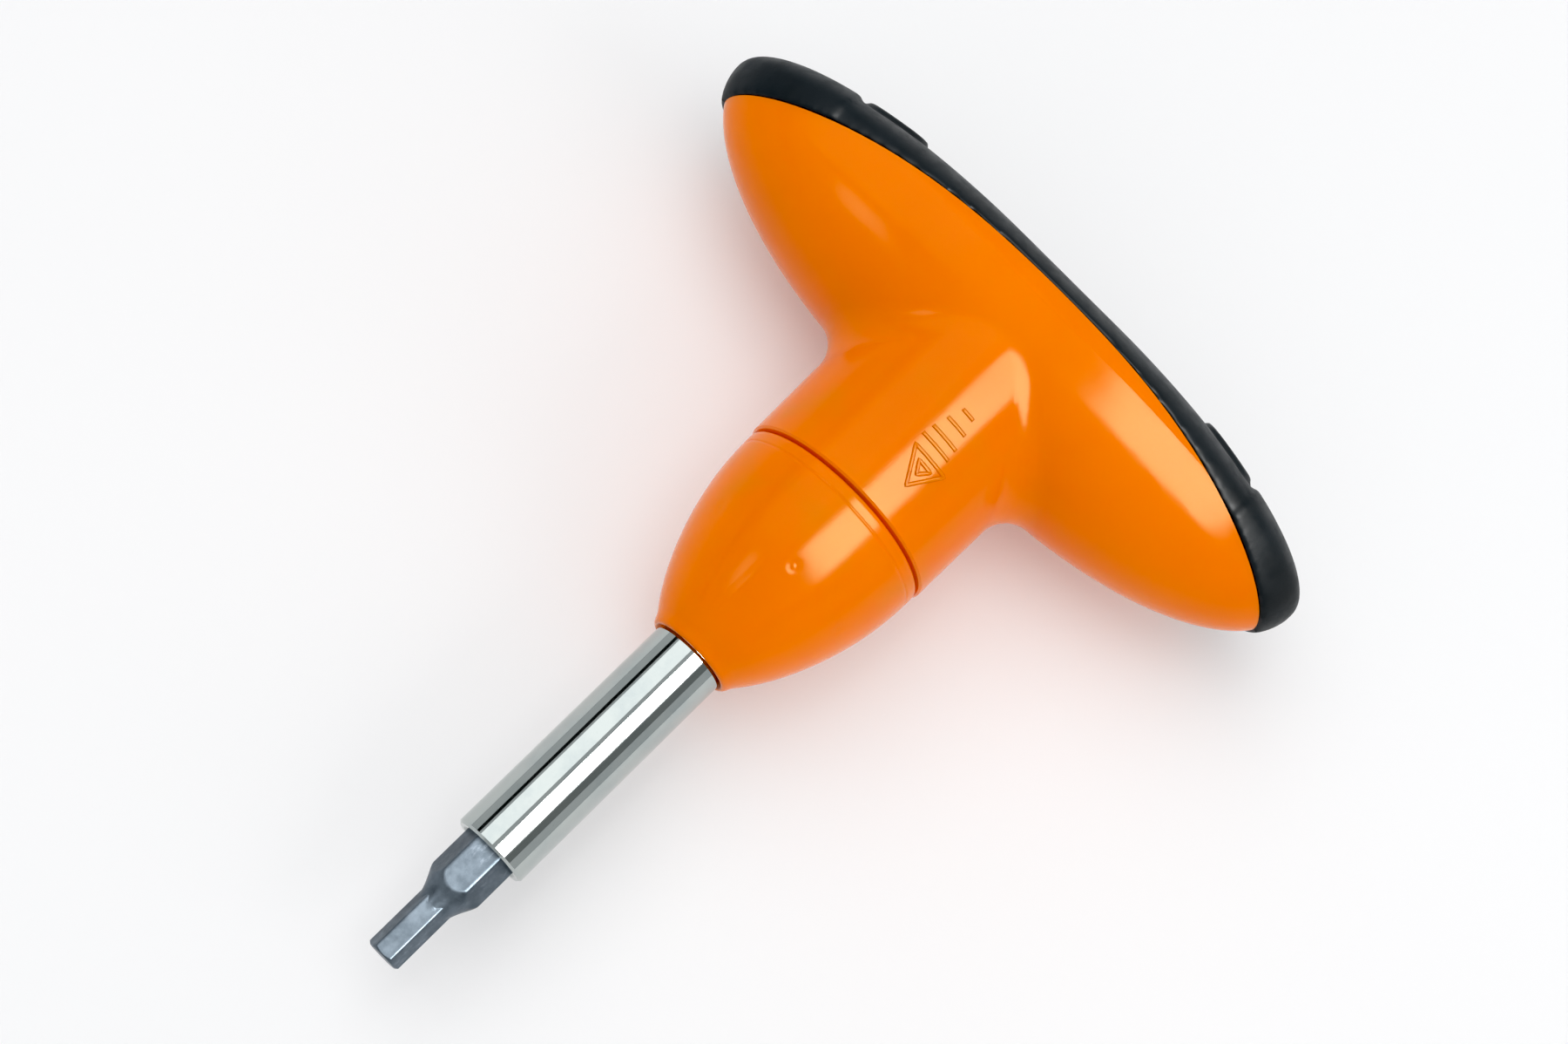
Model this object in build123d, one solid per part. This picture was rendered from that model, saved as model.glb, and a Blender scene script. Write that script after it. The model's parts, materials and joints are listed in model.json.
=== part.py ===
from build123d import *
import os
from math import cos, radians, sin, sqrt

# Torque limiting T-handle driver with a magnetic holder for insert bits.
# Frame: origin at the tip of the hex key, on the drive axis. +X runs along the
# drive axis from the tip towards the handle, +Y along the T-bar, +Z up, square
# to the flat of the tool. Millimetres. X positions are written as *_x.

# ---------------------------------------------------------------- driving sizes
# insert bit, quarter inch hex shank, 4 mm key
bit_length = 25.0
shank_af = 6.35
key_af = 4.0
key_end_x = 7.2
shank_start_x = 11.0

# bit holder tube
holder_r = 4.9
holder_front_x = 16.5
holder_rear_x = 61.5
holder_step_x = 48.5
holder_journal_r = 4.5
socket_clearance = 0.05
magnet_r = 2.9
magnet_length = 3.0
holder_bore_r = 2.4
ring_x = 18.5
ring_width = 0.8
ring_r_in = 3.72
ring_r_out = 4.1
holder_pin_x = 59.9
holder_pin_r = 0.9
bit_turn_deg = -4.0

# handle: T-bar envelope, neck and parting arch
bar_x = 105.5
bar_depth_low = 16.0
bar_depth_up = 8.7
bar_half_length = 47.2
bar_half_thick = 15.2
bar_straight = 8.0
arch_r = 143.0
arch_top_x = 108.2
neck_front_x = 73.6
neck_front_r = 13.85
neck_draft_x = 84.0
neck_r = 14.05
neck_fillet = 5.0
wall = 3.6

# nose cone
nose_front_x = 48.8
nose_rim_x = 72.9
nose_rim_r = 13.6
nose_hole_r = 5.2
spigot_r = 11.9
spigot_end_x = 79.5
nose_ribs = 6
seal_x = 51.5
seal_width = 1.0
bushing_x = 52.6
bushing_r = 5.9
boss_r = 7.1
boss_rear_x = 58.6
cavity_x = 56.5

# clutch sleeve and the stack inside it
sleeve_r = 10.4
sleeve_bore_r = 9.2
sleeve_front_x = 63.0
sleeve_lip = 1.6
sleeve_rear_x = 105.0
washer_thick = 0.8
ball_d = 2.4
ball_ring_r = 7.2
ball_count = 12
cam_teeth = 6
tooth_height = 2.0
tooth_ramp_deg = 30.0
tooth_flat_deg = 13.0
cam_body = 4.4
cam_r = 8.9
tooth_r_out = 8.6
tooth_r_in = 5.3
lift_cam_body = 4.95
seat_thick = 1.0
spring_length = 16.0
spring_mean_r = 6.9
spring_wire_r = 1.1
spring_pitch = 2.9
upper_seat_thick = 1.2
plug_length = 5.0
plug_socket_af = 6.0
lock_thick = 0.8
lock_r_out = 9.75
key_r = 9.85
key_width = 3.0
key_count = 3
rib_r = 11.2
rib_width = 2.4
rib_count = 3
rib_turn_deg = 60.0
rib_front_x = 80.0
rib_rear_x = 100.0
cam_pin_r = 1.0

# drive shaft
shaft_front_x = 46.0
shaft_spigot_r = 3.2
shaft_collar_r = 5.3
shaft_collar_x = 62.0
shaft_r = 4.5
shaft_tail_x = 95.0
shaft_tail_r = 3.0
shaft_end_x = 100.6

# gaps
fit_gap = 0.05
face_gap = 0.05

# cap
cap_rim = 1.8
carrier_thick = 2.0
end_swell = 0.5
swell_y = 33.4
pad_y0 = 23.6
pad_y1 = 32.6
pad_half_width = 8.5
pad_height = 0.9
screw_y = 26.0
screw_seat_x = 107.0
screw_end_x = 96.5
screw_r = 1.45
screw_head_r = 2.7
screw_boss_r = 3.6
pocket_y = 15.5

big = 200.0

# ------------------------------------------------------------- stack positions
front_washer_x = sleeve_front_x + sleeve_lip
ball_x = front_washer_x + washer_thick
rear_washer_x = ball_x + ball_d
cam_x = rear_washer_x + washer_thick
tooth_root_x = cam_x + cam_body
tooth_tip_x = tooth_root_x + tooth_height
lift_cam_rear_x = tooth_tip_x + face_gap + lift_cam_body
spring_x = lift_cam_rear_x + seat_thick
upper_seat_x = spring_x + spring_length
plug_x = upper_seat_x + upper_seat_thick
plug_rear_x = plug_x + plug_length
lock_x = plug_rear_x + 0.1
cam_pin_x = cam_x + cam_body / 2
magnet_x = bit_length + fit_gap


# --------------------------------------------------------------------- helpers
def turned(points):
    """Solid of revolution about the drive axis from (x, radius) points."""
    return revolve(make_face(Polyline(*points, close=True)), Axis.X, 360)


def tube(x0, x1, r_out, r_in=0.0):
    """Plain tube or bar along the drive axis."""
    if r_in == 0.0:
        return turned([(x0, 0), (x1, 0), (x1, r_out), (x0, r_out)])
    return turned([(x0, r_in), (x1, r_in), (x1, r_out), (x0, r_out)])


def hex_bar(x0, x1, across_flats):
    """Hexagonal prism along the drive axis with a flat facing +Z."""
    outline = RegularPolygon(across_flats / 2, 6, major_radius=False)
    return extrude(Plane((x0, 0, 0), x_dir=(0, 1, 0), z_dir=(1, 0, 0)) * outline, x1 - x0)


def about_axis(shape, count, start_deg=0.0):
    """Copies of a shape spaced evenly about the drive axis."""
    step = 360.0 / count
    return [Rot(start_deg + step * i, 0, 0) * shape for i in range(count)]


def block(x0, x1, y0, y1, z0, z1):
    """Box between two corners."""
    size = (x1 - x0, y1 - y0, z1 - z0)
    return Pos((x0 + x1) / 2, (y0 + y1) / 2, (z0 + z1) / 2) * Box(*size)


def save(shape, name):
    export_step(shape, f"parts/{name}.step")


# -------------------------------------------------------------- handle surfaces
def half_egg(low, up, radius):
    """Half an egg outline: two quarter ellipses that meet at the widest level."""
    lower = EllipticalCenterArc((0, 0), low, radius, start_angle=90, arc_size=90)
    upper = EllipticalCenterArc((0, 0), up, radius, start_angle=0, arc_size=90)
    return Plane.XZ * make_face([upper, lower, Line(lower @ 1, upper @ 0)])


def bar_envelope(inset=0.0, crown=0.0):
    """Outer form of the T-bar and its cap: an egg-shaped bar with domed ends.

    inset shrinks it all round; crown raises only the cap side.
    """
    low = bar_depth_low - inset
    up = bar_depth_up - inset + crown
    reach = bar_half_length - bar_straight - inset
    thick = bar_half_thick - inset
    dome = scale(revolve(half_egg(low, up, reach), Axis.X, 180), by=(1, 1, thick / reach))
    side = 1 if dome.center().Y > 0 else -1
    near = Pos(bar_x, side * bar_straight, 0) * dome
    far = Pos(bar_x, -side * bar_straight, 0) * (Rot(180, 0, 0) * dome)
    section = half_egg(low, up, thick)
    section = section + mirror(section, Plane.XY)
    middle = Pos(bar_x, 0, 0) * extrude(section, bar_straight, both=True)
    return near + middle + far


def arch_drum(radius):
    """Everything below the arched parting surface of the given radius."""
    return Pos(arch_top_x - arch_r, 0, 0) * Cylinder(radius, big / 2)


# ---------------------------------------------------------------- cam face teeth
def wedge(x, start_deg, end_deg):
    """Flat sector, wider than any cam ring, in the plane square to the axis at x."""
    near, far = 3.0, 16.0
    corners = ((near, start_deg), (far, start_deg), (far, end_deg), (near, end_deg))
    points = [(r * cos(radians(a)), r * sin(radians(a))) for r, a in corners]
    plane = Plane((x, 0, 0), x_dir=(0, 1, 0), z_dir=(1, 0, 0))
    return (plane * make_face(Polyline(*points, close=True))).face()


def cam_tooth(x0, x1, ramp_start_deg, ramp_end_deg, side, keep):
    """One face tooth: a ring sector with a helical ramp on one end.

    The ramp edge turns from ramp_start_deg at x0 to ramp_end_deg at x1; side says
    which way the tooth lies from it, and keep is the sector that the tooth fills.
    """
    width = 50.0
    edge = sorted((ramp_start_deg, ramp_start_deg + side * width))
    twisted = Solid.extrude_linear_with_rotation(
        wedge(x0, *edge), (x0, 0, 0), (x1 - x0, 0, 0), ramp_end_deg - ramp_start_deg)
    ring = tube(x0, x1, tooth_r_out, tooth_r_in)
    sector = extrude(wedge(x0 - 1, *keep), x1 - x0 + 2, dir=(1, 0, 0))
    return twisted & ring & sector


# -------------------------------------------------------------------- the pieces
def make_drive_bit():
    shank = Rot(bit_turn_deg, 0, 0) * hex_bar(key_end_x - 0.2, bit_length, shank_af)
    key = Rot(bit_turn_deg, 0, 0) * hex_bar(0, shank_start_x, key_af)
    corner = shank_af / sqrt(3)
    flare = make_face([
        Line((key_end_x - 0.2, 0), (key_end_x - 0.2, 1.95)),
        Spline((key_end_x - 0.2, 1.95), (9.2, 2.6), (shank_start_x, corner - 0.15),
               tangents=[(1, 0.05), (1, 0.75)]),
        Line((shank_start_x, corner - 0.15), (shank_start_x + 0.6, corner + 0.1)),
        Line((shank_start_x + 0.6, corner + 0.1), (bit_length - 0.5, corner + 0.1)),
        Line((bit_length - 0.5, corner + 0.1), (bit_length, corner - 0.5)),
        Line((bit_length, corner - 0.5), (bit_length, 0)),
        Line((bit_length, 0), (key_end_x - 0.2, 0)),
    ])
    body = shank & revolve(flare, Axis.X, 360)
    tip = turned([(0, 0), (0, key_af / 2 - 0.1), (0.35, key_af / 2 + 0.35),
                  (shank_start_x, key_af / 2 + 0.35), (shank_start_x, 0)])
    return body + (key & tip)


def make_bit_holder():
    shell = turned([
        (holder_front_x, 0), (holder_front_x, holder_r - 0.3), (holder_front_x + 0.3, holder_r),
        (holder_step_x, holder_r), (holder_step_x, holder_journal_r),
        (holder_rear_x - 0.4, holder_journal_r), (holder_rear_x, holder_journal_r - 0.4),
        (holder_rear_x, 0)])
    socket = Rot(bit_turn_deg, 0, 0) * hex_bar(
        holder_front_x - 1, bit_length + fit_gap, shank_af + 2 * socket_clearance)
    mouth = turned([
        (holder_front_x, 0), (holder_front_x, 4.05),
        (holder_front_x + 0.45, 3.6), (holder_front_x + 0.45, 0)])
    magnet_seat = tube(bit_length, magnet_x + magnet_length + fit_gap, magnet_r + fit_gap)
    ring_groove = tube(ring_x - fit_gap, ring_x + ring_width + fit_gap, ring_r_out + fit_gap)
    shaft_bore = tube(shaft_front_x - 0.5, holder_rear_x + 1, shaft_spigot_r + 0.01)
    through_bore = tube(magnet_x, shaft_front_x, holder_bore_r)
    pin_hole = cross_pin(holder_pin_x, holder_pin_r + 0.01, 2 * holder_r + 2)
    return shell - socket - mouth - magnet_seat - ring_groove - through_bore - shaft_bore - pin_hole


def cross_pin(x, radius, length):
    """Cylinder across the drive axis, along Z."""
    return Pos(x, 0, 0) * Cylinder(radius, length)


def make_bit_retaining_ring():
    ring = tube(ring_x, ring_x + ring_width, ring_r_out, ring_r_in)
    return ring - block(ring_x - 1, ring_x + 2, 0, 6, -1.4, 1.4)


def make_bit_magnet():
    magnet = tube(magnet_x, magnet_x + magnet_length, magnet_r)
    return chamfer(magnet.edges().filter_by(GeomType.CIRCLE), 0.25)


def make_drive_shaft():
    shaft = turned([
        (shaft_front_x, 0), (shaft_front_x, shaft_spigot_r - 0.4),
        (shaft_front_x + 0.4, shaft_spigot_r), (shaft_collar_x, shaft_spigot_r),
        (shaft_collar_x, shaft_collar_r), (cam_x, shaft_collar_r),
        (cam_x, shaft_r), (shaft_tail_x, shaft_r), (shaft_tail_x, shaft_tail_r),
        (shaft_end_x - 0.4, shaft_tail_r), (shaft_end_x, shaft_tail_r - 0.4), (shaft_end_x, 0)])
    holes = cross_pin(holder_pin_x, holder_pin_r + 0.01, 2 * shaft_r) \
        + cross_pin(cam_pin_x, cam_pin_r + 0.01, 3 * shaft_r)
    return shaft - holes


def make_holder_pin():
    return cross_pin(holder_pin_x, holder_pin_r, 2 * holder_journal_r - 0.4)


def make_cam_pin():
    return cross_pin(cam_pin_x, cam_pin_r, 2 * cam_r - 0.6)


def make_driven_cam():
    body = tube(cam_x, tooth_root_x, cam_r, shaft_r + 0.01)
    pitch = 360.0 / cam_teeth
    ramp_low = tooth_flat_deg + tooth_ramp_deg
    tooth = cam_tooth(tooth_root_x, tooth_tip_x, ramp_low, tooth_flat_deg, -1, (0, pitch - 1))
    cam = body + about_axis(tooth, cam_teeth)
    return cam - cross_pin(cam_pin_x, cam_pin_r + 0.01, 3 * cam_r)


def make_sliding_cam():
    base_x = tooth_tip_x + face_gap
    body = tube(base_x, lift_cam_rear_x, cam_r + 0.1, shaft_r + 0.06)
    pitch = 360.0 / cam_teeth
    ramp_low = tooth_flat_deg + tooth_ramp_deg
    tooth = cam_tooth(tooth_root_x + face_gap, base_x, ramp_low, tooth_flat_deg, 1,
                      (1, pitch - 0.5))
    key = block(base_x + 0.6, lift_cam_rear_x, cam_r - 0.5, key_r, -key_width / 2, key_width / 2)
    keys = about_axis(key, key_count)
    return body + about_axis(tooth, cam_teeth) + keys


def make_clutch_sleeve():
    sleeve = tube(sleeve_front_x, sleeve_rear_x, sleeve_r, sleeve_bore_r)
    lip = tube(sleeve_front_x, front_washer_x, sleeve_bore_r + 0.4, shaft_collar_r + 0.3)
    keyway = block(tooth_root_x - 1, sleeve_rear_x + 1, sleeve_bore_r - 1, key_r + 0.1,
                   -key_width / 2 - 0.12, key_width / 2 + 0.12)
    lock_groove = tube(lock_x - fit_gap, lock_x + lock_thick + fit_gap, lock_r_out + fit_gap)
    rib = block(rib_front_x, rib_rear_x, sleeve_r - 0.4, rib_r, -rib_width / 2, rib_width / 2)
    ribs = about_axis(rib, rib_count, rib_turn_deg)
    return sleeve + lip + ribs - about_axis(keyway, key_count) - lock_groove


def make_thrust_washer(x, outer):
    return tube(x, x + washer_thick, outer, shaft_collar_r + 0.08)


def make_thrust_balls():
    ball = Pos(ball_x + ball_d / 2, ball_ring_r, 0) * Sphere(ball_d / 2 - 0.02)
    return Compound(about_axis(ball, ball_count))


def make_thrust_cage():
    middle = ball_x + ball_d / 2
    cage = tube(middle - 0.45, middle + 0.45, cam_r, shaft_collar_r + 0.1)
    pocket = Pos(middle, ball_ring_r, 0) * Rot(0, 90, 0) * Cylinder(ball_d / 2 + 0.06, 3)
    return cage - about_axis(pocket, ball_count)


def make_clutch_spring():
    height = spring_length - 2 * spring_wire_r - 2 * face_gap
    start_x = spring_x + spring_wire_r + face_gap
    start_plane = Plane((start_x, 0, 0), x_dir=(0, 1, 0), z_dir=(1, 0, 0))
    path = start_plane * Helix(spring_pitch, height, spring_mean_r)
    section = Plane(path @ 0, z_dir=path % 0) * Circle(spring_wire_r)
    return sweep(section, path)


def make_lower_spring_seat():
    return tube(lift_cam_rear_x, spring_x, cam_r - 0.3, shaft_r + 0.1)


def make_upper_spring_seat():
    return tube(upper_seat_x, plug_x, sleeve_bore_r - 0.1, shaft_tail_r + 0.4)


def make_preset_plug():
    plug = turned([
        (plug_x, 0), (plug_x, sleeve_bore_r - 0.4), (plug_x + 0.35, sleeve_bore_r - fit_gap),
        (plug_rear_x - 0.35, sleeve_bore_r - fit_gap), (plug_rear_x, sleeve_bore_r - 0.4),
        (plug_rear_x, 0)])
    socket = hex_bar(shaft_end_x + 0.2, plug_rear_x + 1, plug_socket_af)
    return plug - tube(plug_x - 1, shaft_end_x + 0.3, shaft_tail_r + 0.05) - socket


def make_plug_lock_ring():
    ring = tube(lock_x, lock_x + lock_thick, lock_r_out, sleeve_bore_r - 1.5)
    ears = block(lock_x, lock_x + lock_thick, sleeve_bore_r - 3.0, sleeve_bore_r - 0.6, -3.2, 3.2)
    holes = [Pos(lock_x, sleeve_bore_r - 2.0, z) * Rot(0, 90, 0) * Cylinder(0.55, 4)
             for z in (-2.2, 2.2)]
    return ring + ears - block(lock_x - 1, lock_x + 2, 0, 12, -1.2, 1.2) - holes


def make_nose_cone():
    outer = make_face([
        Line((nose_front_x, 0), (nose_front_x, nose_hole_r + 0.2)),
        ThreePointArc((nose_front_x, nose_hole_r + 0.2), (nose_front_x + 0.35, 5.9), (50.1, 6.35)),
        Spline((50.1, 6.35), (54.8, 9.3), (59.2, 11.2), (63.5, 12.5), (67.8, 13.3),
               (72.6, nose_rim_r), tangents=[(1, 0.78), (1, 0.04)]),
        Line((72.6, nose_rim_r), (nose_rim_x, nose_rim_r - 0.3)),
        Line((nose_rim_x, nose_rim_r - 0.3), (nose_rim_x, spigot_r)),
        Line((nose_rim_x, spigot_r), (spigot_end_x, spigot_r)),
        Line((spigot_end_x, spigot_r), (spigot_end_x, 0)),
        Line((spigot_end_x, 0), (nose_front_x, 0)),
    ])
    shell = revolve(outer, Axis.X, 360)
    front_hole = tube(nose_front_x - 1, seal_x + 1, nose_hole_r)
    bush_seat = tube(seal_x - fit_gap, boss_rear_x + 1, bushing_r + 0.01)
    hollow = turned([
        (cavity_x, boss_r), (cavity_x, 8.2), (sleeve_front_x - fit_gap, 10.2),
        (sleeve_front_x - fit_gap, 0), (boss_rear_x, 0), (boss_rear_x, boss_r)])
    sleeve_seat = tube(sleeve_front_x - fit_gap, spigot_end_x + 1, sleeve_r + fit_gap)
    rib = block(cavity_x - 0.3, sleeve_front_x - fit_gap, boss_r - 0.2, 11.0, -0.6, 0.6)
    rib_limit = turned([(cavity_x - 0.3, 0), (cavity_x - 0.3, 8.5),
                        (sleeve_front_x, 10.6), (sleeve_front_x, 0)])
    ribs = [arm & rib_limit for arm in about_axis(rib, nose_ribs, 30)]
    return shell - front_hole - bush_seat - hollow - sleeve_seat + ribs


def make_nose_bushing():
    return tube(bushing_x, boss_rear_x, bushing_r, holder_journal_r + fit_gap)


def make_dust_seal():
    seal = tube(seal_x, seal_x + seal_width, bushing_r - fit_gap, holder_journal_r + fit_gap)
    return chamfer(seal.edges().filter_by(GeomType.CIRCLE).sort_by(Axis.X)[:2], 0.2)


def make_handle_body():
    under_arch = arch_drum(arch_r)
    neck = turned([
        (neck_front_x, 0), (neck_front_x, neck_front_r - 0.25), (neck_front_x + 0.25, neck_front_r),
        (neck_draft_x, neck_r), (bar_x, neck_r), (bar_x, 0)])
    body = (bar_envelope() & under_arch) + neck
    meeting = [e for e in body.edges() if is_neck_meeting(e.bounding_box())]
    body = fillet(meeting, neck_fillet)
    bore = tube(neck_front_x - 1, spigot_end_x + fit_gap, spigot_r + fit_gap) \
        + tube(spigot_end_x, arch_top_x + 5, sleeve_r + fit_gap)
    slot_half = rib_width / 2 + 0.1
    rib_slot = block(rib_front_x, arch_top_x + 5, sleeve_r - 1, rib_r + 0.1, -slot_half, slot_half)
    rib_slots = about_axis(rib_slot, rib_count, rib_turn_deg)
    pockets = bar_envelope(inset=wall) & block(0, big, pocket_y, big, -big, big)
    pockets = pockets + mirror(pockets, Plane.XZ)
    bosses = [Pos(0, y, 0) * tube(85, 115, screw_boss_r) for y in (-screw_y, screw_y)]
    webs = [block(85, 104.5, y - 0.8, y + 0.8, -20, 20) for y in (-34, -screw_y, screw_y, 34)]
    pilots = [Pos(0, y, 0) * tube(screw_end_x - 1, 115, screw_r + 0.01)
              for y in (-screw_y, screw_y)]
    return body - (pockets - bosses - webs) - bore - rib_slots - pilots


def is_neck_meeting(box):
    """True for the edges where the neck runs into the bar."""
    return box.min.X > 86 and box.max.X < 104.5 and box.max.Y - box.min.Y > 3


def make_cap_carrier():
    layer = arch_drum(arch_r + carrier_thick) - arch_drum(arch_r + 0.02)
    plate = bar_envelope(inset=cap_rim) & layer
    holes = [Pos(0, y, 0) * tube(85, 125, screw_r + 0.15) for y in (-screw_y, screw_y)]
    seats = [Pos(0, y, 0) * tube(screw_seat_x, 125, screw_head_r + 0.15)
             for y in (-screw_y, screw_y)]
    return plate - holes - seats


def make_cap_screws():
    screws = []
    for y in (-screw_y, screw_y):
        head = tube(screw_seat_x, screw_seat_x + 1.7, screw_head_r)
        shank = tube(screw_end_x, screw_seat_x, screw_r)
        head = chamfer(head.edges().filter_by(GeomType.CIRCLE).sort_by(Axis.X)[-1], 0.4)
        slots = block(screw_seat_x + 0.8, screw_seat_x + 3, -1.5, 1.5, -0.3, 0.3)
        cross = slots + Rot(90, 0, 0) * slots
        screws.append(Pos(0, y, 0) * (head + shank - cross))
    return Compound(screws)


def make_grip_cap():
    drum = arch_drum(arch_r + 0.02)
    cap = bar_envelope() - drum
    end = (bar_envelope(inset=-end_swell) & block(0, big, swell_y, big, -big, big)) - drum
    pad_mid = (pad_y0 + pad_y1) / 2
    outline = RectangleRounded(pad_y1 - pad_y0, 2 * pad_half_width, 2.5)
    pad_post = extrude(Plane((bar_x, pad_mid, 0), x_dir=(0, 1, 0), z_dir=(1, 0, 0)) * outline, 30)
    pad = (bar_envelope(crown=pad_height) & pad_post) - drum
    cap = cap + end + mirror(end, Plane.XZ) + pad + mirror(pad, Plane.XZ)
    hollow = bar_envelope(inset=cap_rim - 0.03) & arch_drum(arch_r + carrier_thick + 0.03)
    heads = [Pos(0, y, 0) * tube(screw_seat_x - 1, screw_seat_x + 1.8, screw_head_r + 0.15)
             for y in (-screw_y, screw_y)]
    return cap - hollow - heads


save(make_drive_bit(), "drive_bit")
save(make_bit_holder(), "bit_holder")
save(make_bit_retaining_ring(), "bit_retaining_ring")
save(make_bit_magnet(), "bit_magnet")
save(make_drive_shaft(), "drive_shaft")
save(make_holder_pin(), "holder_pin")
save(make_cam_pin(), "cam_pin")
save(make_driven_cam(), "driven_cam")
save(make_sliding_cam(), "sliding_cam")
save(make_clutch_sleeve(), "clutch_sleeve")
save(make_thrust_washer(front_washer_x, sleeve_bore_r - 0.05), "front_thrust_washer")
save(make_thrust_washer(rear_washer_x, cam_r), "rear_thrust_washer")
save(make_thrust_balls(), "thrust_balls")
save(make_thrust_cage(), "thrust_cage")
save(make_lower_spring_seat(), "lower_spring_seat")
save(make_clutch_spring(), "clutch_spring")
save(make_upper_spring_seat(), "upper_spring_seat")
save(make_preset_plug(), "preset_plug")
save(make_plug_lock_ring(), "plug_lock_ring")
save(make_nose_cone(), "nose_cone")
save(make_nose_bushing(), "nose_bushing")
save(make_dust_seal(), "dust_seal")
save(make_handle_body(), "handle_body")
save(make_cap_carrier(), "cap_carrier")
save(make_cap_screws(), "cap_screws")
save(make_grip_cap(), "grip_cap")
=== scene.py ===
"""Torque limiting T-handle driver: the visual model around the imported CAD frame.

Shapes are written in mm in the row frame, +X from the key's tip towards the handle, +Y along
the T-bar and +Z up, and add_piece turns them into metres. Angles round the drive axis start
at +Z and grow towards +Y. Materials, lights and the camera are in metres.
"""

import json
import math

import bmesh
import bpy
import numpy as np
from mathutils import Matrix, Vector


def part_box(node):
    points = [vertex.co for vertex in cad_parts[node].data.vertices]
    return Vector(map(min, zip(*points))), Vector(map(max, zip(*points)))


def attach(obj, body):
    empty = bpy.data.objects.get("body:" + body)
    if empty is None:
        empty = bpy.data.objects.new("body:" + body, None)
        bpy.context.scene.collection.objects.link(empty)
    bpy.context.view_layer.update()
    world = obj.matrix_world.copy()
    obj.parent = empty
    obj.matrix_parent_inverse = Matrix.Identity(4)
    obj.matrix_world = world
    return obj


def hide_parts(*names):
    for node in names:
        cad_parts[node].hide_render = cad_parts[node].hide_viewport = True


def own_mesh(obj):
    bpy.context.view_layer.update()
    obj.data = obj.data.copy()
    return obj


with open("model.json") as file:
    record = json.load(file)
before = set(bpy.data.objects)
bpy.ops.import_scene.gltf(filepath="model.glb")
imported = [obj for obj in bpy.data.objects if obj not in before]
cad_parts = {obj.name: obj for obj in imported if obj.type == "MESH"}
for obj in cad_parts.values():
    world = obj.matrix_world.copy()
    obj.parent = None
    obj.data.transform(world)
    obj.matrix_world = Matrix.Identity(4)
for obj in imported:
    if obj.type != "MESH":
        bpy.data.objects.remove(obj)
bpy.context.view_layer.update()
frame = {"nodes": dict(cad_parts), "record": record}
nodes = frame["nodes"]
MM = 0.001
MICRON = 0.000001


# ------------------------------------------------------------------ shader help
class Shader:
    """A procedural material under construction; coordinates are the row frame, in metres."""

    def __init__(self, name):
        self.material = bpy.data.materials.new(name)
        self.material.use_nodes = True
        self.tree = self.material.node_tree
        self.bsdf = self.tree.nodes["Principled BSDF"]
        self.place = self.tree.nodes.new("ShaderNodeTexCoord").outputs["Object"]
        self.normal = None

    def new(self, kind, **settings):
        node = self.tree.nodes.new(kind)
        for key, value in settings.items():
            setattr(node, key, value)
        return node

    def link(self, source, target):
        self.tree.links.new(source, target)

    def set(self, **values):
        """Sets sockets of the surface shader: specular_tint stands for Specular Tint."""
        for key, value in values.items():
            socket = key.replace("_", " ").title().replace("Ior", "IOR")
            self.bsdf.inputs[socket].default_value = value

    def stretched(self, scale):
        """Coordinates multiplied by scale along each axis."""
        node = self.new("ShaderNodeMapping")
        node.inputs["Scale"].default_value = scale
        self.link(self.place, node.inputs["Vector"])
        return node.outputs["Vector"]

    def noise(self, scale, detail=2.0, roughness=0.5, vector=None):
        """Noise with about scale cells a metre."""
        node = self.new("ShaderNodeTexNoise")
        self.link(vector or self.place, node.inputs["Vector"])
        node.inputs["Scale"].default_value = scale
        node.inputs["Detail"].default_value = detail
        node.inputs["Roughness"].default_value = roughness
        return node.outputs["Fac"]

    def ramp(self, value, low, high, out_low=0.0, out_high=1.0):
        """Value between low and high, eased into the range from out_low to out_high."""
        node = self.new("ShaderNodeMapRange", interpolation_type="SMOOTHSTEP")
        self.link(value, node.inputs["Value"])
        limits = {"From Min": low, "From Max": high, "To Min": out_low, "To Max": out_high}
        for key, number in limits.items():
            node.inputs[key].default_value = number
        return node.outputs["Result"]

    def multiply(self, a, b):
        node = self.new("ShaderNodeMath", operation="MULTIPLY")
        self.link(a, node.inputs[0])
        self.link(b, node.inputs[1])
        return node.outputs["Value"]

    def along(self):
        """Distance along the drive axis."""
        node = self.new("ShaderNodeSeparateXYZ")
        self.link(self.place, node.inputs["Vector"])
        return node.outputs["X"]

    def mix(self, fac, a, b):
        """Blend of two colours, each a linear tuple or another node's colour."""
        node = self.new("ShaderNodeMix", data_type="RGBA")
        self.link(fac, node.inputs["Factor"])
        for value, socket in ((a, node.inputs["A"]), (b, node.inputs["B"])):
            if isinstance(value, tuple):
                socket.default_value = (*value, 1.0)
            else:
                self.link(value, socket)
        return node.outputs["Result"]

    def colour(self, socket):
        self.link(socket, self.bsdf.inputs["Base Color"])

    def rough(self, socket):
        self.link(socket, self.bsdf.inputs["Roughness"])

    def bump(self, value, distance, strength=1.0):
        """Adds a bump on top of those added before."""
        node = self.new("ShaderNodeBump")
        node.inputs["Distance"].default_value = distance
        node.inputs["Strength"].default_value = strength
        self.link(value, node.inputs["Height"])
        if self.normal:
            self.link(self.normal, node.inputs["Normal"])
        self.normal = node.outputs["Normal"]
        self.link(self.normal, self.bsdf.inputs["Normal"])


def srgb(r, g, b):
    """Linear colour from 0 to 255 screen values."""
    return tuple(c / 3294.6 if c <= 10 else ((c / 255 + 0.055) / 1.055) ** 2.4
                 for c in (r, g, b))


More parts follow.
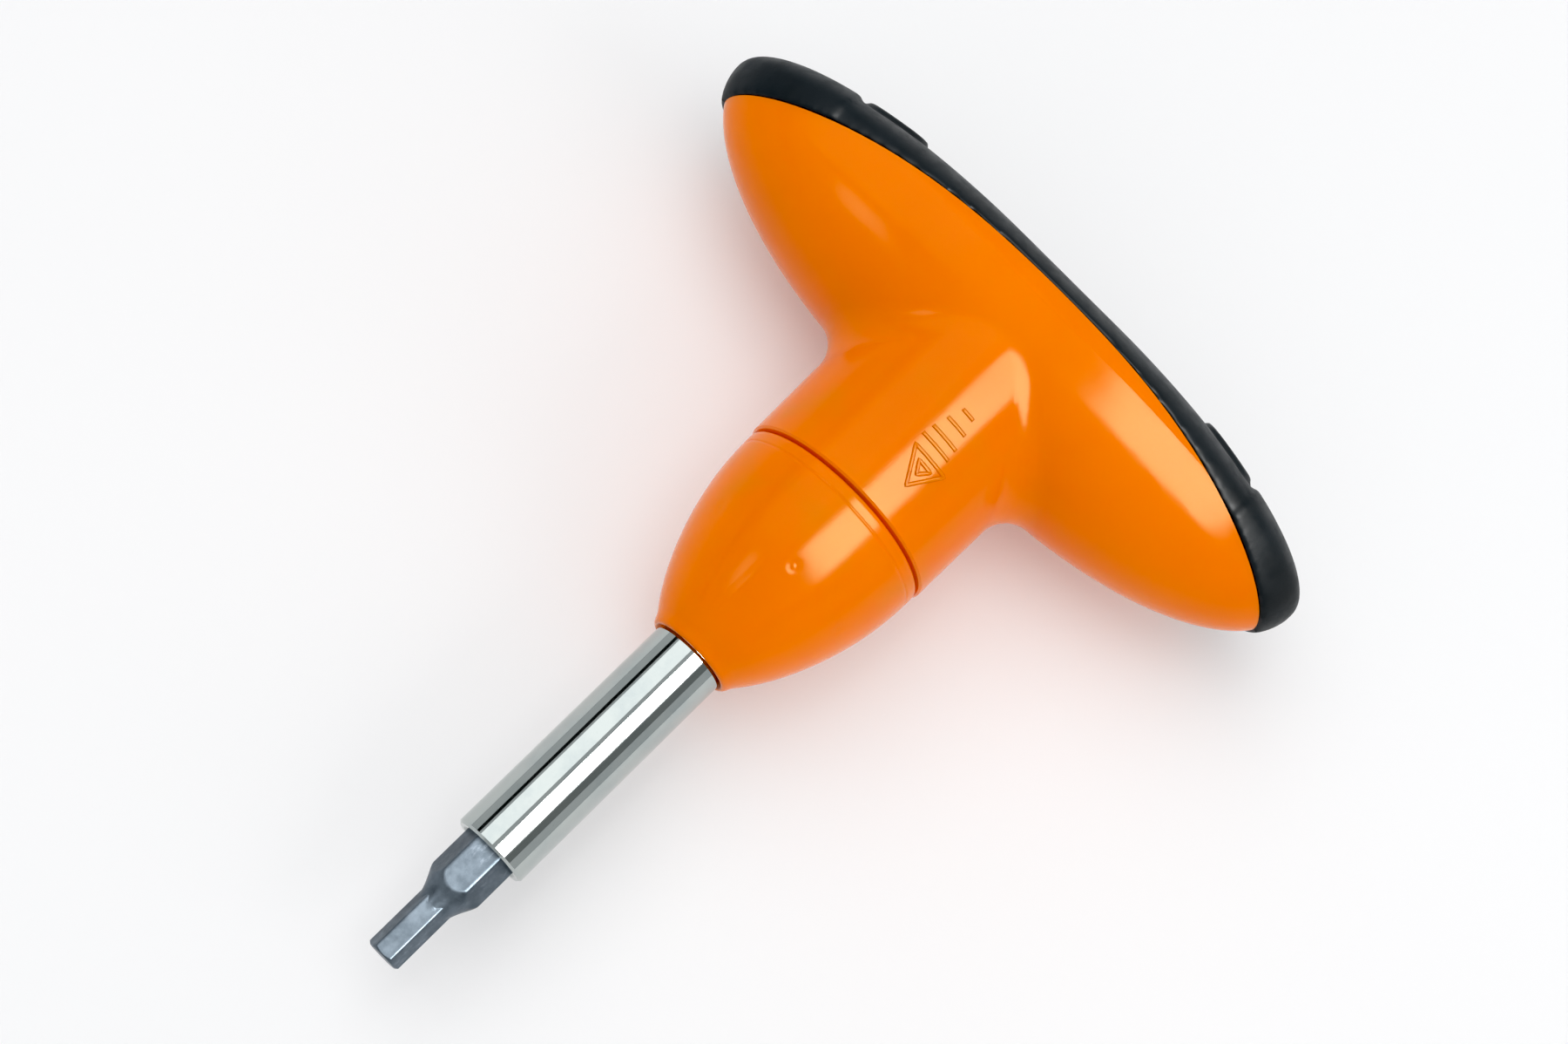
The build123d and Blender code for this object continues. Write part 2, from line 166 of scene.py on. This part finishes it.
# -------------------------------------------------------------------- materials
def moulded_orange():
    """Glossy, slightly translucent plastic, mottled over the clutch inside the neck."""
    orange = (0.87, 0.190, 0.001)
    deeper_orange = (0.82, 0.170, 0.001)
    dull_orange = (0.76, 0.190, 0.001)
    mottle_starts, mottle_full, mottle_fades, mottle_ends = 0.058, 0.066, 0.080, 0.098
    m = Shader("moulded_orange")
    clouds = m.ramp(m.noise(38.0, 3.0, 0.55), 0.35, 0.7)
    base = m.mix(clouds, orange, deeper_orange)
    along = m.along()
    over_clutch = m.multiply(m.ramp(along, mottle_starts, mottle_full),
                             m.ramp(along, mottle_ends, mottle_fades))
    mottle = m.multiply(over_clutch, m.ramp(m.noise(95.0, 2.0, 0.6), 0.45, 0.75))
    m.colour(m.mix(mottle, base, dull_orange))
    m.rough(m.ramp(m.noise(240.0, 4.0, 0.6), 0.3, 0.75, 0.14, 0.19))
    m.bump(m.noise(70.0, 1.0, 0.4), 120 * MICRON, 0.5)
    m.bump(m.noise(2600.0, 3.0, 0.6), 10 * MICRON, 0.35)
    m.set(subsurface_weight=0.22, subsurface_radius=(1.0, 0.35, 0.08), subsurface_scale=0.0022,
          ior=1.28, specular_tint=(1.0, 0.92, 0.5, 1.0))
    return m.material


def cap_rubber():
    """Satin black soft-touch rubber with a fine grain."""
    m = Shader("cap_rubber")
    clouds = m.ramp(m.noise(60.0, 3.0, 0.6), 0.3, 0.7)
    m.colour(m.mix(clouds, srgb(12, 18, 21), srgb(20, 28, 33)))
    m.rough(m.ramp(m.noise(420.0, 4.0, 0.6), 0.3, 0.7, 0.40, 0.54))
    m.bump(m.noise(3200.0, 4.0, 0.65), 20 * MICRON, 0.6)
    m.set(specular_ior_level=0.22)
    return m.material


def metal(name, dark, light, roughness, grain, grain_depth):
    """Turned or drawn metal: colour drift, streaks along the drive axis, uneven polish."""
    streak_length = 60.0
    m = Shader(name)
    streaks = m.noise(1.0, 3.0, 0.6, m.stretched((streak_length, grain, grain)))
    drift = m.ramp(m.noise(160.0, 4.0, 0.6), 0.3, 0.75)
    m.colour(m.mix(drift, dark, light))
    m.rough(m.ramp(streaks, 0.3, 0.7, *roughness))
    m.bump(streaks, grain_depth, 0.4)
    m.set(metallic=1.0)
    return m.material


def plain(name, dark, light, roughness):
    """Plastic or rubber inside the tool: slight mottling and a fine grain."""
    scale, spread = 300.0, 0.08
    m = Shader(name)
    m.colour(m.mix(m.ramp(m.noise(scale, 3.0), 0.3, 0.7), dark, light))
    m.rough(m.ramp(m.noise(scale * 2, 3.0), 0.3, 0.7, roughness - spread, roughness + spread))
    m.bump(m.noise(scale * 6, 3.0), 20 * MICRON, 0.5)
    return m.material


def holder_chrome():
    """Polished chrome with faint drawn streaks and a few dull flecks."""
    m = Shader("holder_chrome")
    drift = m.ramp(m.noise(220.0, 4.0, 0.65), 0.35, 0.8)
    flecks = m.ramp(m.noise(1500.0, 5.0, 0.7, m.stretched((0.5, 1.0, 1.0))), 0.70, 0.78)
    shade = m.mix(drift, srgb(180, 186, 184), srgb(168, 176, 176))
    m.colour(m.mix(flecks, shade, srgb(140, 144, 142)))
    streaks = m.noise(1.0, 4.0, 0.6, m.stretched((90.0, 900.0, 900.0)))
    m.rough(m.ramp(streaks, 0.3, 0.75, 0.025, 0.06))
    m.bump(m.noise(900.0, 4.0, 0.6), 4 * MICRON, 0.5)
    m.set(metallic=1.0)
    return m.material


def bit_steel():
    """Satin grey tool steel, rubbed bright in patches."""
    m = Shader("bit_steel")
    drift = m.ramp(m.noise(330.0, 5.0, 0.65), 0.32, 0.72)
    base = m.mix(drift, srgb(82, 91, 99), srgb(106, 116, 125))
    rubbed = m.ramp(m.noise(700.0, 6.0, 0.7, m.stretched((0.4, 1.0, 1.0))), 0.55, 0.75)
    m.colour(m.mix(rubbed, base, srgb(130, 140, 150)))
    m.rough(m.ramp(m.noise(1100.0, 4.0, 0.6), 0.3, 0.75, 0.34, 0.48))
    m.bump(m.noise(2400.0, 4.0, 0.6, m.stretched((0.35, 1.0, 1.0))), 10 * MICRON, 0.6)
    m.set(metallic=1.0)
    return m.material


grey_steel = srgb(140, 146, 150), srgb(176, 182, 186)
nickel = srgb(188, 186, 180), srgb(210, 208, 202)
dark_steel = srgb(96, 98, 100), srgb(130, 132, 134)
zinc = srgb(150, 152, 150), srgb(178, 180, 178)
brass = srgb(176, 140, 70), srgb(204, 170, 96)
black_acetal = srgb(26, 27, 28), srgb(38, 39, 41)
dark_red = srgb(96, 22, 16), srgb(120, 30, 20)
black_nylon = srgb(30, 32, 34), srgb(44, 46, 48)

finish = {
    "handle_orange": moulded_orange(),
    "cap_rubber": cap_rubber(),
    "holder_chrome": holder_chrome(),
    "bit_steel": bit_steel(),
    "spring_steel": metal("spring_steel", *grey_steel, (0.22, 0.36), 900.0, 8 * MICRON),
    "magnet_nickel": metal("magnet_nickel", *nickel, (0.12, 0.22), 700.0, 5 * MICRON),
    "hardened_steel": metal("hardened_steel", *grey_steel, (0.25, 0.4), 1200.0, 10 * MICRON),
    "cam_steel": metal("cam_steel", *dark_steel, (0.34, 0.5), 800.0, 20 * MICRON),
    "sleeve_zinc": metal("sleeve_zinc", *zinc, (0.35, 0.5), 600.0, 20 * MICRON),
    "cage_brass": metal("cage_brass", *brass, (0.22, 0.36), 700.0, 10 * MICRON),
    "bushing_acetal": plain("bushing_acetal", *black_acetal, 0.45),
    "seal_rubber": plain("seal_rubber", *dark_red, 0.5),
    "carrier_nylon": plain("carrier_nylon", *black_nylon, 0.5),
    "screw_steel": metal("screw_steel", *grey_steel, (0.28, 0.42), 1000.0, 10 * MICRON),
}
for part in frame["record"]["subparts"]:
    mesh = nodes[part["node"]].data
    mesh.materials.clear()
    mesh.materials.append(finish[part["material_slot"]])


# ------------------------------------------------------------------ shape helpers
def add_piece(name, verts, faces, body, slot, replaced=None):
    """Smooth mesh from points in mm that rides on a body and takes a slot's finish."""
    weld_gap = 1e-7
    mesh = bpy.data.meshes.new(name)
    mesh.from_pydata([tuple(v) for v in np.asarray(verts) * MM], [], faces)
    work = bmesh.new()
    work.from_mesh(mesh)
    bmesh.ops.remove_doubles(work, verts=work.verts, dist=weld_gap)
    bmesh.ops.recalc_face_normals(work, faces=work.faces)
    work.to_mesh(mesh)
    work.free()
    mesh.shade_smooth()
    mesh.materials.append(finish[slot])
    obj = bpy.data.objects.new(name, mesh)
    bpy.context.scene.collection.objects.link(obj)
    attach(obj, body)
    if replaced:
        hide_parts(replaced)


def around_axis(x, radius, angle):
    """Points at a distance along and round the drive axis, one row of them for each x."""
    points = np.stack([x, radius * np.sin(angle), radius * np.cos(angle)], -1)
    return points.reshape(-1, 3)


def lathe_faces(rows, columns, closed):
    """Quads over a grid of points that wraps round the axis, and along it too if closed."""
    faces = []
    for i in range(rows if closed else rows - 1):
        a, b = i * columns, (i + 1) % rows * columns
        for j in range(columns):
            k = (j + 1) % columns
            faces.append((a + j, a + k, b + k, b + j))
    return faces


def bell(distance, width):
    """1 at distance 0, falling smoothly away over width."""
    return np.exp(-(distance / width) ** 2)


def smooth_through(xs, ys, start_slope, end_slope):
    """Cubic spline through points with given end slopes, as a function of x."""
    xs, ys = np.asarray(xs, float), np.asarray(ys, float)
    h = np.diff(xs)
    secant = np.diff(ys) / h
    n = len(xs)
    left, right = np.eye(n), np.zeros(n)
    right[0], right[-1] = start_slope, end_slope
    for i in range(1, n - 1):
        left[i, i - 1:i + 2] = h[i], 2 * (h[i - 1] + h[i]), h[i - 1]
        right[i] = 3 * (h[i] * secant[i - 1] + h[i - 1] * secant[i])
    slopes = np.linalg.solve(left, right)

    def value(x):
        i = np.clip(np.searchsorted(xs, x) - 1, 0, n - 2)
        t = (x - xs[i]) / h[i]
        return (ys[i] * (1 + 2 * t) * (1 - t) ** 2 + ys[i + 1] * t * t * (3 - 2 * t)
                + slopes[i] * h[i] * t * (1 - t) ** 2 - slopes[i + 1] * h[i] * t * t * (1 - t))

    return value


# --------------------------------------------------------------------- nose cone
def make_nose():
    """Nose cone with its sink marks, flow lines and the fine groove before the rim."""
    skin = smooth_through((50.1, 54.8, 59.2, 63.5, 67.8, 72.6),
                          (6.35, 9.3, 11.2, 12.5, 13.3, 13.6), 0.78, 0.01)
    mouth_lip = [(48.8, 5.2), (48.8, 5.42), (48.86, 5.62), (49.0, 5.78), (49.3, 5.95),
                 (49.7, 6.13)]
    rim_and_bore = [(72.95, 13.59), (73.12, 13.50), (73.2, 13.35), (73.2, 11.9), (79.5, 11.9),
                    (79.5, 10.45), (62.95, 10.45), (62.95, 10.2), (56.5, 8.2), (56.5, 7.1),
                    (58.6, 7.1), (58.6, 5.92), (51.45, 5.92), (51.45, 5.2)]
    skin_x = np.concatenate([np.linspace(50.1, 70.9, 105), np.linspace(71.0, 72.6, 27)])
    outline = np.concatenate([mouth_lip, np.stack([skin_x, skin(skin_x)], -1), rim_and_bore])
    on_skin = np.zeros(len(outline))
    on_skin[len(mouth_lip):len(mouth_lip) + len(skin_x)] = 1.0
    columns = 480
    around = np.linspace(0, 2 * math.pi, columns, endpoint=False)
    grid_x, grid_a = np.meshgrid(outline[:, 0], around, indexing="ij")
    grid_r = np.repeat(outline[:, 1:], columns, axis=1)

    groove_x, groove_depth, groove_width = 71.55, 0.08, 0.15
    change = -groove_depth * bell(grid_x - groove_x, groove_width)
    mark_x, mark_r = 62.2, 12.2
    ring_depth, ring_width, pip_height, pip_width = 0.10, 0.62, 0.11, 0.24
    dish_x, dish_r, dish_stretch, dish_offset_deg = 64.6, 12.6, 1.5, 6.0
    dish_depth, dish_width = 0.05, 2.6
    for mark_deg in (-126.4, -56.4, -6.7, 51.7, 111.7, 171.7):
        across = (np.degrees(grid_a) - mark_deg + 180) % 360 - 180
        reach = np.hypot(grid_x - mark_x, np.radians(across) * mark_r)
        change += -ring_depth * bell(reach, ring_width) + pip_height * bell(reach, pip_width)
        dish = np.hypot((grid_x - dish_x) / dish_stretch,
                        np.radians(across + dish_offset_deg) * dish_r)
        change += -dish_depth * bell(dish, dish_width)
    flow_start, flow_middle, flow_end, flow_fade = 52.5, 56.5, 60.5, 1.5
    flow_height, flow_width_deg, flow_slant = 0.016, 1.6, 0.5
    for line_deg in (6.5, 12.5):
        fades_in = np.clip((grid_x - flow_start) / flow_fade, 0, 1)
        fades_out = np.clip((flow_end - grid_x) / flow_fade, 0, 1)
        off_line = np.degrees(grid_a) - line_deg - (flow_middle - grid_x) * flow_slant
        change += flow_height * bell(off_line, flow_width_deg) * (fades_in * fades_out)

    grid_r = grid_r + change * on_skin[:, None]
    add_piece("nose_cone_shell", around_axis(grid_x, grid_r, grid_a),
              lathe_faces(len(outline), columns, True), "handle", "handle_orange", "nose_cone")


# ------------------------------------------------------------ raised marks on neck
neck_x = (73.85, 84.0)
neck_r = (13.85, 14.05)
neck_mm_per_deg = 0.245


def on_neck(x, deg, lift):
    """Point lift above the neck's surface."""
    r = np.interp(x, neck_x, neck_r) + lift
    return (x, r * math.sin(math.radians(deg)), r * math.cos(math.radians(deg)))


def ridge(points, width, height):
    """Soft-topped raised line along (x, degrees) points, as points and faces."""
    step, sunk = 0.25, 0.06
    deg_per_mm = 1 / neck_mm_per_deg
    fine = []
    for (x0, a0), (x1, a1) in zip(points[:-1], points[1:]):
        steps = max(2, int(math.hypot(x1 - x0, (a1 - a0) * neck_mm_per_deg) / step))
        fine += [(x0 + (x1 - x0) * k / steps, a0 + (a1 - a0) * k / steps)
                 for k in range(steps)]
    fine.append(points[-1])
    profile = [(-1.0, -sunk), (-0.62, height * 0.75), (-0.3, height),
               (0.3, height), (0.62, height * 0.75), (1.0, -sunk)]
    verts, faces = [], []
    for i, (x, a) in enumerate(fine):
        x_a, a_a = fine[max(i - 1, 0)]
        x_b, a_b = fine[min(i + 1, len(fine) - 1)]
        dx, ds = x_b - x_a, (a_b - a_a) * neck_mm_per_deg
        size = math.hypot(dx, ds)
        for side, lift in profile:
            off = side * width / 2
            sideways_deg = dx / size * off * deg_per_mm
            verts.append(on_neck(x - ds / size * off, a + sideways_deg, lift))
    wide = len(profile)
    for i in range(len(fine) - 1):
        a, b = i * wide, (i + 1) * wide
        faces += [(a + j, a + j + 1, b + j + 1, b + j) for j in range(wide - 1)]
        faces.append((a + wide - 1, a, b, b + wide - 1))
    faces.append(tuple(range(wide))[::-1])
    last = (len(fine) - 1) * wide
    faces.append(tuple(range(last, last + wide)))
    return verts, faces


def make_neck_marks():
    """Generic moulded marks: nested arrow heads that point to the bit, and bars across."""
    line_width, line_height = 0.60, 0.15
    lines = [
        [(78.1, -16.0), (82.3, -5.0), (82.3, -26.5), (78.1, -16.0), (79.6, -12.2)],
        [(79.9, -15.8), (81.3, -11.6), (81.3, -20.2), (79.9, -15.8), (80.5, -14.0)],
        [(83.9, -3.5), (83.9, -22.0)],
        [(85.4, -4.5), (85.4, -21.0)],
        [(87.4, -6.5), (87.4, -19.0)],
        [(89.4, -9.0), (89.4, -16.5)],
    ]
    verts, faces = [], []
    for line in lines:
        line_verts, line_faces = ridge(line, line_width, line_height)
        faces += [tuple(i + len(verts) for i in face) for face in line_faces]
        verts += line_verts
    add_piece("neck_marks", verts, faces, "handle", "handle_orange")


# -------------------------------------------------------------------- insert bit
def soft_min(a, b, blend):
    """The smaller of two radii, rounded where they meet."""
    h = np.clip(0.5 + 0.5 * (b - a) / blend, 0, 1)
    return b * (1 - h) + a * h - blend * h * (1 - h)


def hexagon(angle, across_flats):
    """Radius of a hexagon with one flat facing angle 0."""
    turned = (angle + math.pi / 6) % (math.pi / 3) - math.pi / 6
    return across_flats / 2 / np.cos(turned)


def make_bit():
    """Insert bit with broken edges: hex key, ground flare and hex shank."""
    key_flats, key_corner_r, tip_r, tip_slope = 4.0, 2.265, 1.92, 1.25
    shank_flats, shank_corner_r = 6.35, 3.60
    flare_x = (6.6, 7.4, 9.2, 11.0, 12.0, 13.0)
    flare_r = (1.90, 2.02, 2.62, 3.50, 3.85, 4.1)
    rear_bevel_x, rear_r, rear_slope = 24.3, 3.95, 1.1
    key_only_to, blend_to = 6.4, 7.6
    turn_deg = 4.0
    x = np.concatenate([
        [0.0, 0.0], np.linspace(0.02, 0.6, 10), np.linspace(0.8, 6.6, 12),
        np.linspace(6.8, 12.6, 88), np.linspace(13.0, 24.2, 16), np.linspace(24.4, 25.0, 10),
        [25.0]])
    around = np.radians(np.arange(0, 360, 0.75))
    grid_x, grid_a = np.meshgrid(x, around, indexing="ij")

    shank = soft_min(hexagon(grid_a, shank_flats), shank_corner_r, 0.10)
    flare_line = smooth_through(flare_x, flare_r, 0.02, 0.2)
    flare = np.where(grid_x < flare_x[0], flare_r[0],
                     flare_line(np.clip(grid_x, flare_x[0], flare_x[-1])))
    rear = rear_r - np.clip(grid_x - rear_bevel_x, 0, 1) * rear_slope
    shank = soft_min(soft_min(shank, flare, 0.10), rear, 0.06)
    key = soft_min(hexagon(grid_a, key_flats), key_corner_r, 0.06)
    key = soft_min(key, tip_r + np.clip(grid_x, 0, 1) * tip_slope, 0.05)
    blended = -soft_min(-key, -shank, 0.12)
    radius = np.where(grid_x > blend_to, np.maximum(shank, np.minimum(key, blended)),
                      np.where(grid_x < key_only_to, key, blended))
    radius[0] = 0.0
    radius[-1] = 0.0
    add_piece("hex_key_bit", around_axis(grid_x, radius, grid_a + math.radians(turn_deg)),
              lathe_faces(len(x), len(around), False), "insert_bit", "bit_steel", "drive_bit")


# ------------------------------------------------------------------------- cap
def rounded_box_distance(u, v, half_u, half_v, radius):
    """Distance from the outline of a rounded rectangle, in its own plane."""
    du, dv = np.abs(u) - half_u + radius, np.abs(v) - half_v + radius
    outside = np.hypot(np.maximum(du, 0), np.maximum(dv, 0))
    return np.abs(outside + np.minimum(np.maximum(du, dv), 0) - radius)


def softened_copy(node, voxel, iterations):
    """Points in mm, normals and faces of a CAD node, remeshed and smoothed."""
    scratch = bpy.data.objects.new("scratch", nodes[node].data.copy())
    bpy.context.scene.collection.objects.link(scratch)
    remesh = scratch.modifiers.new("remesh", "REMESH")
    remesh.mode = "VOXEL"
    remesh.voxel_size = voxel * MM
    soften = scratch.modifiers.new("soften", "SMOOTH")
    soften.factor = 0.5
    soften.iterations = iterations
    bpy.context.view_layer.update()
    result = scratch.evaluated_get(bpy.context.evaluated_depsgraph_get()).to_mesh()
    points = np.array([v.co for v in result.vertices]) / MM
    normals = np.array([v.normal for v in result.vertices])
    faces = [tuple(f.vertices) for f in result.polygons]
    bpy.data.objects.remove(scratch)
    return points, normals, faces


def make_cap():
    """Soft grip cap: the moulded form with rounded rims, outlined pads and creased tips."""
    pad_y, pad_half_y, pad_half_z, pad_corner = 28.1, 4.75, 8.75, 2.6
    groove_depth, groove_width = 0.22, 0.42
    tip_start, tip_fade = 42.5, 3.0
    crease_depth, crease_width, crease_wave = 0.20, 0.55, 0.6
    shoulder_y, shoulder_depth, shoulder_width = 33.2, 0.05, 0.5
    points, normals, faces = softened_copy("grip_cap", voxel=0.38, iterations=14)
    y, z = points[:, 1], points[:, 2]
    outer = np.clip((normals[:, 0] + 0.1) / 0.3, 0, 1)
    pad_edge = rounded_box_distance(np.abs(y) - pad_y, z, pad_half_y, pad_half_z, pad_corner)
    groove = bell(pad_edge, groove_width)
    tip = np.clip((np.abs(y) - tip_start) / tip_fade, 0, 1)
    crease = bell(z - crease_wave * np.sin(y), crease_width) * tip
    shoulder = bell(np.abs(y) - shoulder_y, shoulder_width)
    depth = groove_depth * groove + crease_depth * crease + shoulder_depth * shoulder
    points = points - normals * (depth * outer)[:, None]
    low, high = (np.array(corner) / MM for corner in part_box("grip_cap"))
    add_piece("soft_grip_cap", np.clip(points, low, high), faces, "handle", "cap_rubber",
              "grip_cap")


# ---------------------------------------------------------------------- spring
def make_spring():
    """Clutch spring: a copy of the CAD coil that rides on the handle."""
    coil = bpy.data.objects.new("coil_spring", nodes["clutch_spring"].data.copy())
    bpy.context.scene.collection.objects.link(coil)
    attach(coil, "handle")
    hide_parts("clutch_spring")
    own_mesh(coil)


make_nose()
make_neck_marks()
make_bit()
make_cap()
make_spring()


# ---------------------------------------------------------------- floor and light
tool_middle = Vector((75, 0, 0)) * MM


def studio_direction(across_deg, along):
    """Unit vector: across_deg is the angle from vertical towards +Y, along the share of +X."""
    across = math.radians(across_deg)
    flat = Vector((0, math.sin(across), math.cos(across)))
    return (flat * math.sqrt(1 - along * along) + Vector((along, 0, 0))).normalized()


def facing(direction):
    """Rotation whose local +Z is the direction, with local X as near to +X as it can be."""
    z = direction.normalized()
    x = (Vector((1, 0, 0)) - z * z.x).normalized()
    return Matrix((x, z.cross(x), z)).transposed()


def card(name, size, centre, direction, material, only_glossy=False):
    """Flat rectangle whose front looks along direction, part of the stage."""
    mesh = bpy.data.meshes.new(name)
    w, h = size[0] / 2, size[1] / 2
    mesh.from_pydata([(-w, -h, 0), (w, -h, 0), (w, h, 0), (-w, h, 0)], [], [(0, 1, 2, 3)])
    obj = bpy.data.objects.new(name, mesh)
    bpy.context.scene.collection.objects.link(obj)
    obj.matrix_world = Matrix.Translation(centre) @ facing(direction).to_4x4()
    mesh.materials.append(material)
    if only_glossy:
        obj.visible_camera = False
        obj.visible_diffuse = False
        obj.visible_transmission = False
        obj.visible_shadow = False


def softbox(name, across_deg, along, distance, size, radiance,
            sees=("diffuse", "glossy"), tint=(1, 1, 1), shadow=True):
    """Rectangular area light of a given radiance, aimed at the middle of the tool."""
    data = bpy.data.lights.new(name, "AREA")
    data.shape = "RECTANGLE"
    data.size, data.size_y = size
    data.energy = radiance * math.pi * size[0] * size[1]
    data.color = tint
    data.use_shadow = shadow
    light = bpy.data.objects.new(name, data)
    bpy.context.scene.collection.objects.link(light)
    direction = studio_direction(across_deg, along)
    place = Matrix.Translation(tool_middle + direction * distance)
    light.matrix_world = place @ facing(direction).to_4x4()
    light.visible_diffuse = "diffuse" in sees
    light.visible_glossy = "glossy" in sees


def floor_paper():
    """Matt white paper that glows a little, as an overexposed background does."""
    m = Shader("floor_paper")
    clouds = m.ramp(m.noise(6.0, 2.0), 0.3, 0.7)
    m.colour(m.mix(clouds, (0.715, 0.712, 0.718), (0.730, 0.727, 0.733)))
    m.bump(m.noise(900.0, 4.0, 0.6), 20 * MICRON, 0.3)
    m.set(roughness=0.75, specular_ior_level=0.2, emission_color=(1.0, 1.0, 1.0, 1.0),
          emission_strength=0.15)
    return m.material


def flag_cloth(name, radiance):
    """Dark cloth that makes a dark or grey band in the chrome."""
    m = Shader(name)
    m.colour(m.mix(m.noise(40.0), (0.01, 0.01, 0.01), (0.02, 0.02, 0.02)))
    m.set(roughness=0.9, emission_color=(0.95, 1.0, 1.0, 1.0), emission_strength=radiance)
    return m.material


# The tool lies on the rim of its neck and on the belly of the T-bar.
neck_rest = Vector((neck_x[0], 0, -neck_r[0])) * MM
belly_rest = Vector((104.65, 0, -15.2)) * MM
rest_line = (belly_rest - neck_rest).normalized()
floor_normal = rest_line.cross(Vector((0, 1, 0))).normalized()
floor_gap = 0.05 * MM
card("floor", (6.0, 6.0), belly_rest - floor_normal * floor_gap, floor_normal, floor_paper())

softbox("key_gloss", -23.5, 0.12, 0.95, (0.62, 0.58), 20.0, ("glossy",), (1.0, 0.99, 0.97))
softbox("top_fill", -4.0, 0.12, 0.95, (0.62, 0.58), 1.15, ("diffuse",), (1.0, 0.99, 0.975))
softbox("left_fill", 35.0, 0.15, 1.0, (0.9, 0.9), 0.30, ("diffuse",), (1.0, 0.99, 0.98))
softbox("right_fill", -62.0, 0.10, 1.0, (0.6, 0.6), 2.6, ("diffuse",), (1.0, 0.97, 0.95),
        shadow=False)
softbox("ceiling", 27.0, 0.22, 1.0, (1.0, 0.80), 1.2)
softbox("left_gloss", 29.0, -0.47, 1.0, (0.24, 0.24), 4.0, ("glossy",))

flag_distance, flag_length, flag_along = 0.8, 2.2, 0.17
for name, low_deg, high_deg, radiance in (("black_flag", 55.5, 65.5, 0.0),
                                          ("grey_flag", -64.0, -44.0, 0.22)):
    middle = studio_direction((low_deg + high_deg) / 2, flag_along)
    width = 2 * flag_distance * math.tan(math.radians(high_deg - low_deg) / 2)
    card(name, (flag_length, width), tool_middle + middle * flag_distance, -middle,
         flag_cloth(name, radiance), True)

world = bpy.data.worlds.new("studio")
bpy.context.scene.world = world
world.use_nodes = True
background = world.node_tree.nodes["Background"]
background.inputs["Color"].default_value = (0.96, 0.985, 1.0, 1)
background.inputs["Strength"].default_value = 0.62

# ------------------------------------------------------------------------ camera
# Place, turn and lens are fitted to the photograph's ring ellipses and outline.
camera_place = (-0.0171, -0.0101, 0.3017)
camera_right = Vector((0.690, -0.705, 0.164)).normalized()
camera_up = Vector((0.670, 0.708, 0.222))
camera_up = (camera_up - camera_right * camera_up.dot(camera_right)).normalized()
camera_back = camera_right.cross(camera_up)
camera_data = bpy.data.cameras.new("camera")
camera_data.sensor_width = 36.0
camera_data.lens = 60.76
camera_data.clip_start = 0.01
camera = bpy.data.objects.new("camera", camera_data)
bpy.context.scene.collection.objects.link(camera)
camera_turn = Matrix((camera_right, camera_up, camera_back)).transposed().to_4x4()
camera.matrix_world = Matrix.Translation(camera_place) @ camera_turn
bpy.context.scene.camera = camera

black_level = 0.015
view = bpy.context.scene.view_settings
view.view_transform = "Standard"
view.look = "None"
view.use_curve_mapping = True
view.curve_mapping.black_level = (black_level, black_level, black_level)
view.curve_mapping.update()
